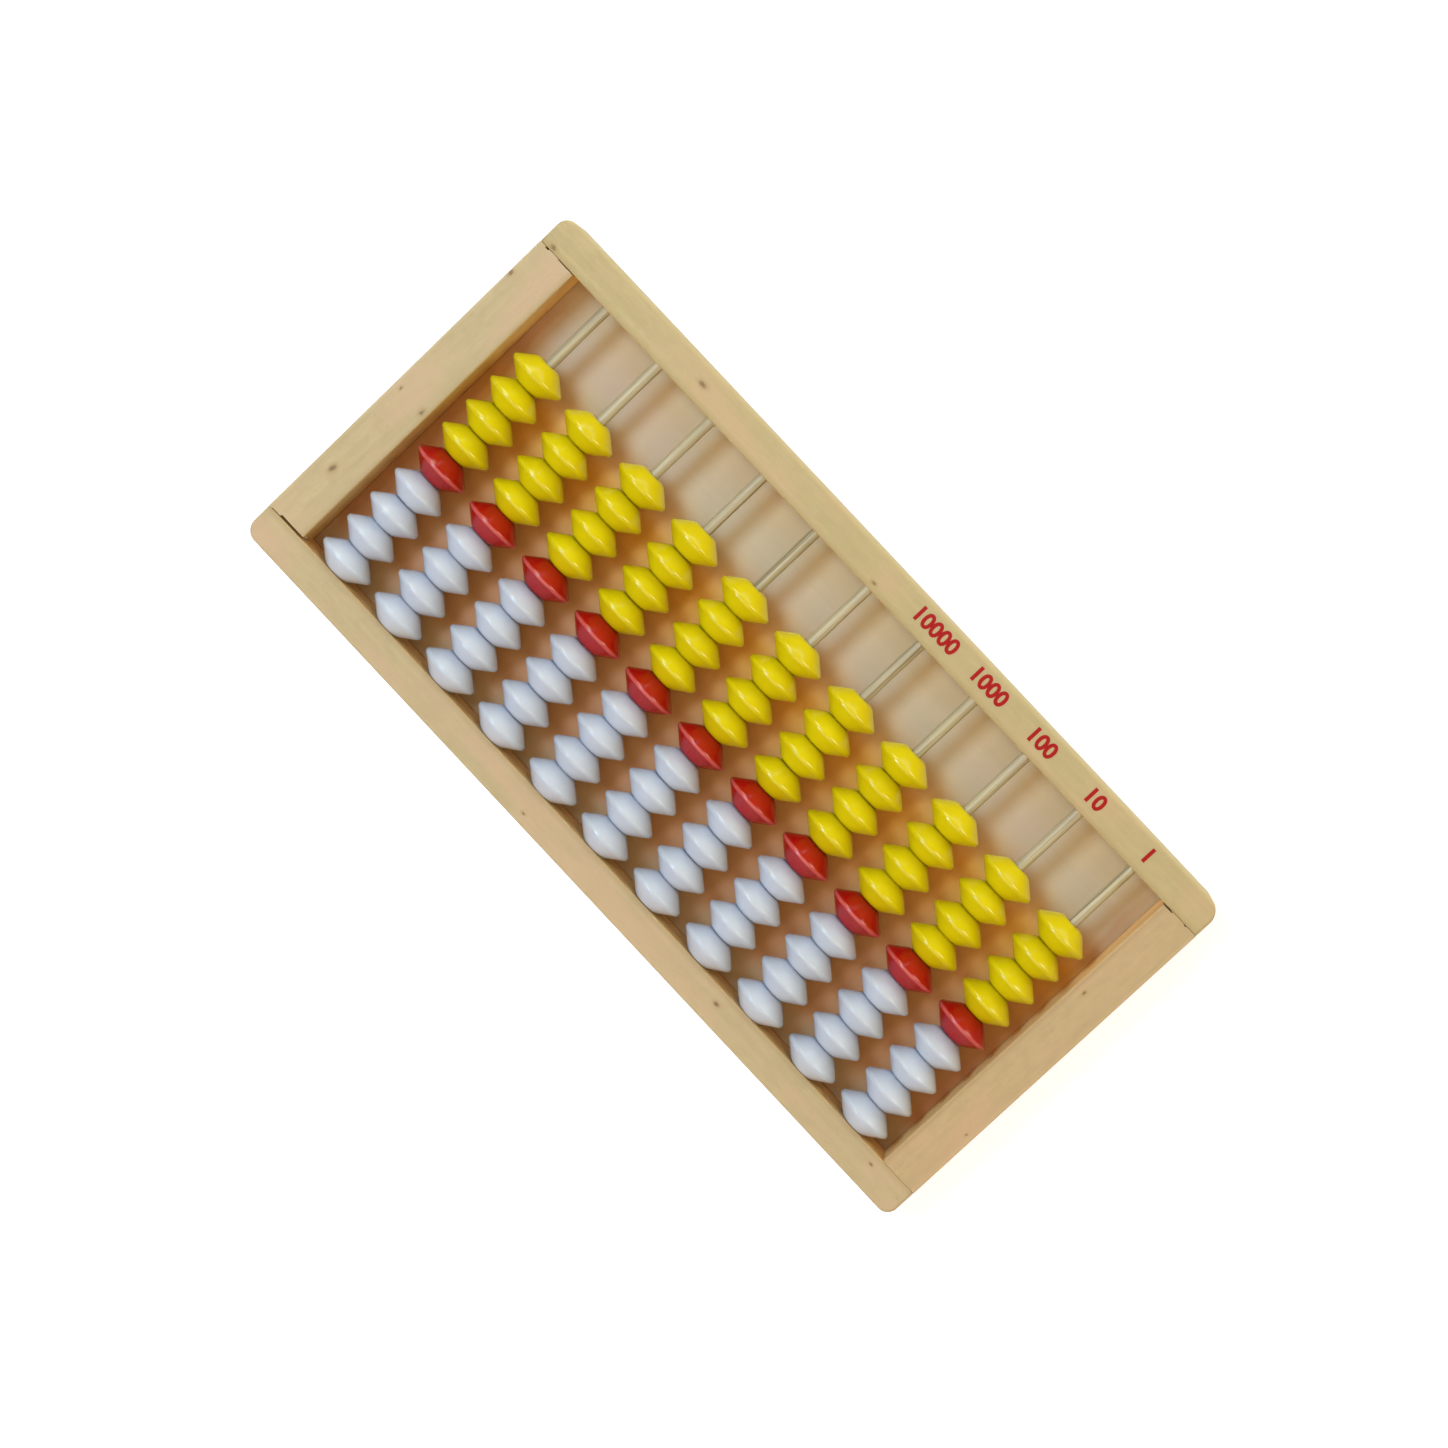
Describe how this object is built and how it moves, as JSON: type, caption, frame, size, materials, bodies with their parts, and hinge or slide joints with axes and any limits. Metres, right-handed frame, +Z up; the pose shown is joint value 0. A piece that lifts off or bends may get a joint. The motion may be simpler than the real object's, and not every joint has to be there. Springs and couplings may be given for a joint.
{
  "type": "abacus",
  "caption": "Flat wooden tray abacus: four rails and a back panel hold bamboo rods, each threaded with sliding lens-shaped beads in white, red and yellow.",
  "frame": {"origin": "below the centre of the inner opening, 0.4 mm from the footprint's centre, on the surface that it lies on", "axes": "+X along the long rails, +Y from the bottom rail to the top rail along the rods, +Z up out of the open face"},
  "size_m": [0.2642, 0.127, 0.0257],
  "materials": {
    "rail_wood": "bare sanded pine, satin",
    "end_rail_wood": "bare sanded pine, warmer tone",
    "panel_wood": "thin smooth board, satin",
    "rod_bamboo": "split bamboo, smooth",
    "white_plastic": "moulded, glossy",
    "red_plastic": "moulded, glossy",
    "yellow_plastic": "moulded, glossy"
  },
  "bodies": {
    "frame": {"top_rail": "rail_wood", "bottom_rail": "rail_wood", "left_end_rail": "rail_wood", "right_end_rail": "end_rail_wood", "back_panel": "panel_wood", "rod_01": "rod_bamboo", "rod_02": "rod_bamboo", "rod_03": "rod_bamboo", "rod_04": "rod_bamboo", "rod_05": "rod_bamboo", "rod_06": "rod_bamboo", "rod_07": "rod_bamboo", "rod_08": "rod_bamboo", "rod_09": "rod_bamboo", "rod_10": "rod_bamboo", "rod_11": "rod_bamboo"},
    "column_01_white_beads": {"column_01_white_beads": "white_plastic"},
    "column_01_red_bead": {"column_01_red_bead": "red_plastic"},
    "column_01_yellow_beads": {"column_01_yellow_beads": "yellow_plastic"},
    "column_01_top_bead": {"column_01_top_bead": "yellow_plastic"},
    "column_02_white_beads": {"column_02_white_beads": "white_plastic"},
    "column_02_red_bead": {"column_02_red_bead": "red_plastic"},
    "column_02_yellow_beads": {"column_02_yellow_beads": "yellow_plastic"},
    "column_02_top_bead": {"column_02_top_bead": "yellow_plastic"},
    "column_03_white_beads": {"column_03_white_beads": "white_plastic"},
    "column_03_red_bead": {"column_03_red_bead": "red_plastic"},
    "column_03_yellow_beads": {"column_03_yellow_beads": "yellow_plastic"},
    "column_03_top_bead": {"column_03_top_bead": "yellow_plastic"},
    "column_04_white_beads": {"column_04_white_beads": "white_plastic"},
    "column_04_red_bead": {"column_04_red_bead": "red_plastic"},
    "column_04_yellow_beads": {"column_04_yellow_beads": "yellow_plastic"},
    "column_04_top_bead": {"column_04_top_bead": "yellow_plastic"},
    "column_05_white_beads": {"column_05_white_beads": "white_plastic"},
    "column_05_red_bead": {"column_05_red_bead": "red_plastic"},
    "column_05_yellow_beads": {"column_05_yellow_beads": "yellow_plastic"},
    "column_05_top_bead": {"column_05_top_bead": "yellow_plastic"},
    "column_06_white_beads": {"column_06_white_beads": "white_plastic"},
    "column_06_red_bead": {"column_06_red_bead": "red_plastic"},
    "column_06_yellow_beads": {"column_06_yellow_beads": "yellow_plastic"},
    "column_06_top_bead": {"column_06_top_bead": "yellow_plastic"},
    "column_07_white_beads": {"column_07_white_beads": "white_plastic"},
    "column_07_red_bead": {"column_07_red_bead": "red_plastic"},
    "column_07_yellow_beads": {"column_07_yellow_beads": "yellow_plastic"},
    "column_07_top_bead": {"column_07_top_bead": "yellow_plastic"},
    "column_08_white_beads": {"column_08_white_beads": "white_plastic"},
    "column_08_red_bead": {"column_08_red_bead": "red_plastic"},
    "column_08_yellow_beads": {"column_08_yellow_beads": "yellow_plastic"},
    "column_08_top_bead": {"column_08_top_bead": "yellow_plastic"},
    "column_09_white_beads": {"column_09_white_beads": "white_plastic"},
    "column_09_red_bead": {"column_09_red_bead": "red_plastic"},
    "column_09_yellow_beads": {"column_09_yellow_beads": "yellow_plastic"},
    "column_09_top_bead": {"column_09_top_bead": "yellow_plastic"},
    "column_10_white_beads": {"column_10_white_beads": "white_plastic"},
    "column_10_red_bead": {"column_10_red_bead": "red_plastic"},
    "column_10_yellow_beads": {"column_10_yellow_beads": "yellow_plastic"},
    "column_10_top_bead": {"column_10_top_bead": "yellow_plastic"},
    "column_11_white_beads": {"column_11_white_beads": "white_plastic"},
    "column_11_red_bead": {"column_11_red_bead": "red_plastic"},
    "column_11_yellow_beads": {"column_11_yellow_beads": "yellow_plastic"},
    "column_11_top_bead": {"column_11_top_bead": "yellow_plastic"}
  },
  "joints": [
    {"name": "column_01_white_beads_slide", "type": "slide", "parent": "frame", "child": "column_01_white_beads", "axis": [0, 1, 0], "range_m": [0, 0.0054]},
    {"name": "column_01_red_bead_slide", "type": "slide", "parent": "column_01_white_beads", "child": "column_01_red_bead", "axis": [0, 1, 0], "range_m": [0, 0.0054]},
    {"name": "column_01_yellow_beads_slide", "type": "slide", "parent": "column_01_red_bead", "child": "column_01_yellow_beads", "axis": [0, 1, 0], "range_m": [0, 0.0054]},
    {"name": "column_01_top_bead_slide", "type": "slide", "parent": "column_01_yellow_beads", "child": "column_01_top_bead", "axis": [0, 1, 0], "range_m": [0, 0.0054]},
    {"name": "column_02_white_beads_slide", "type": "slide", "parent": "frame", "child": "column_02_white_beads", "axis": [0, 1, 0], "range_m": [0, 0.0054]},
    {"name": "column_02_red_bead_slide", "type": "slide", "parent": "column_02_white_beads", "child": "column_02_red_bead", "axis": [0, 1, 0], "range_m": [0, 0.0054]},
    {"name": "column_02_yellow_beads_slide", "type": "slide", "parent": "column_02_red_bead", "child": "column_02_yellow_beads", "axis": [0, 1, 0], "range_m": [0, 0.0054]},
    {"name": "column_02_top_bead_slide", "type": "slide", "parent": "column_02_yellow_beads", "child": "column_02_top_bead", "axis": [0, 1, 0], "range_m": [0, 0.0054]},
    {"name": "column_03_white_beads_slide", "type": "slide", "parent": "frame", "child": "column_03_white_beads", "axis": [0, 1, 0], "range_m": [0, 0.0054]},
    {"name": "column_03_red_bead_slide", "type": "slide", "parent": "column_03_white_beads", "child": "column_03_red_bead", "axis": [0, 1, 0], "range_m": [0, 0.0054]},
    {"name": "column_03_yellow_beads_slide", "type": "slide", "parent": "column_03_red_bead", "child": "column_03_yellow_beads", "axis": [0, 1, 0], "range_m": [0, 0.0054]},
    {"name": "column_03_top_bead_slide", "type": "slide", "parent": "column_03_yellow_beads", "child": "column_03_top_bead", "axis": [0, 1, 0], "range_m": [0, 0.0054]},
    {"name": "column_04_white_beads_slide", "type": "slide", "parent": "frame", "child": "column_04_white_beads", "axis": [0, 1, 0], "range_m": [0, 0.0054]},
    {"name": "column_04_red_bead_slide", "type": "slide", "parent": "column_04_white_beads", "child": "column_04_red_bead", "axis": [0, 1, 0], "range_m": [0, 0.0054]},
    {"name": "column_04_yellow_beads_slide", "type": "slide", "parent": "column_04_red_bead", "child": "column_04_yellow_beads", "axis": [0, 1, 0], "range_m": [0, 0.0054]},
    {"name": "column_04_top_bead_slide", "type": "slide", "parent": "column_04_yellow_beads", "child": "column_04_top_bead", "axis": [0, 1, 0], "range_m": [0, 0.0054]},
    {"name": "column_05_white_beads_slide", "type": "slide", "parent": "frame", "child": "column_05_white_beads", "axis": [0, 1, 0], "range_m": [0, 0.0054]},
    {"name": "column_05_red_bead_slide", "type": "slide", "parent": "column_05_white_beads", "child": "column_05_red_bead", "axis": [0, 1, 0], "range_m": [0, 0.0054]},
    {"name": "column_05_yellow_beads_slide", "type": "slide", "parent": "column_05_red_bead", "child": "column_05_yellow_beads", "axis": [0, 1, 0], "range_m": [0, 0.0054]},
    {"name": "column_05_top_bead_slide", "type": "slide", "parent": "column_05_yellow_beads", "child": "column_05_top_bead", "axis": [0, 1, 0], "range_m": [0, 0.0054]},
    {"name": "column_06_white_beads_slide", "type": "slide", "parent": "frame", "child": "column_06_white_beads", "axis": [0, 1, 0], "range_m": [0, 0.0054]},
    {"name": "column_06_red_bead_slide", "type": "slide", "parent": "column_06_white_beads", "child": "column_06_red_bead", "axis": [0, 1, 0], "range_m": [0, 0.0054]},
    {"name": "column_06_yellow_beads_slide", "type": "slide", "parent": "column_06_red_bead", "child": "column_06_yellow_beads", "axis": [0, 1, 0], "range_m": [0, 0.0054]},
    {"name": "column_06_top_bead_slide", "type": "slide", "parent": "column_06_yellow_beads", "child": "column_06_top_bead", "axis": [0, 1, 0], "range_m": [0, 0.0054]},
    {"name": "column_07_white_beads_slide", "type": "slide", "parent": "frame", "child": "column_07_white_beads", "axis": [0, 1, 0], "range_m": [0, 0.0054]},
    {"name": "column_07_red_bead_slide", "type": "slide", "parent": "column_07_white_beads", "child": "column_07_red_bead", "axis": [0, 1, 0], "range_m": [0, 0.0054]},
    {"name": "column_07_yellow_beads_slide", "type": "slide", "parent": "column_07_red_bead", "child": "column_07_yellow_beads", "axis": [0, 1, 0], "range_m": [0, 0.0054]},
    {"name": "column_07_top_bead_slide", "type": "slide", "parent": "column_07_yellow_beads", "child": "column_07_top_bead", "axis": [0, 1, 0], "range_m": [0, 0.0054]},
    {"name": "column_08_white_beads_slide", "type": "slide", "parent": "frame", "child": "column_08_white_beads", "axis": [0, 1, 0], "range_m": [0, 0.0054]},
    {"name": "column_08_red_bead_slide", "type": "slide", "parent": "column_08_white_beads", "child": "column_08_red_bead", "axis": [0, 1, 0], "range_m": [0, 0.0054]},
    {"name": "column_08_yellow_beads_slide", "type": "slide", "parent": "column_08_red_bead", "child": "column_08_yellow_beads", "axis": [0, 1, 0], "range_m": [0, 0.0054]},
    {"name": "column_08_top_bead_slide", "type": "slide", "parent": "column_08_yellow_beads", "child": "column_08_top_bead", "axis": [0, 1, 0], "range_m": [0, 0.0054]},
    {"name": "column_09_white_beads_slide", "type": "slide", "parent": "frame", "child": "column_09_white_beads", "axis": [0, 1, 0], "range_m": [0, 0.0054]},
    {"name": "column_09_red_bead_slide", "type": "slide", "parent": "column_09_white_beads", "child": "column_09_red_bead", "axis": [0, 1, 0], "range_m": [0, 0.0054]},
    {"name": "column_09_yellow_beads_slide", "type": "slide", "parent": "column_09_red_bead", "child": "column_09_yellow_beads", "axis": [0, 1, 0], "range_m": [0, 0.0054]},
    {"name": "column_09_top_bead_slide", "type": "slide", "parent": "column_09_yellow_beads", "child": "column_09_top_bead", "axis": [0, 1, 0], "range_m": [0, 0.0054]},
    {"name": "column_10_white_beads_slide", "type": "slide", "parent": "frame", "child": "column_10_white_beads", "axis": [0, 1, 0], "range_m": [0, 0.0054]},
    {"name": "column_10_red_bead_slide", "type": "slide", "parent": "column_10_white_beads", "child": "column_10_red_bead", "axis": [0, 1, 0], "range_m": [0, 0.0054]},
    {"name": "column_10_yellow_beads_slide", "type": "slide", "parent": "column_10_red_bead", "child": "column_10_yellow_beads", "axis": [0, 1, 0], "range_m": [0, 0.0054]},
    {"name": "column_10_top_bead_slide", "type": "slide", "parent": "column_10_yellow_beads", "child": "column_10_top_bead", "axis": [0, 1, 0], "range_m": [0, 0.0054]},
    {"name": "column_11_white_beads_slide", "type": "slide", "parent": "frame", "child": "column_11_white_beads", "axis": [0, 1, 0], "range_m": [0, 0.0054]},
    {"name": "column_11_red_bead_slide", "type": "slide", "parent": "column_11_white_beads", "child": "column_11_red_bead", "axis": [0, 1, 0], "range_m": [0, 0.0054]},
    {"name": "column_11_yellow_beads_slide", "type": "slide", "parent": "column_11_red_bead", "child": "column_11_yellow_beads", "axis": [0, 1, 0], "range_m": [0, 0.0054]},
    {"name": "column_11_top_bead_slide", "type": "slide", "parent": "column_11_yellow_beads", "child": "column_11_top_bead", "axis": [0, 1, 0], "range_m": [0, 0.0054]}
  ]
}
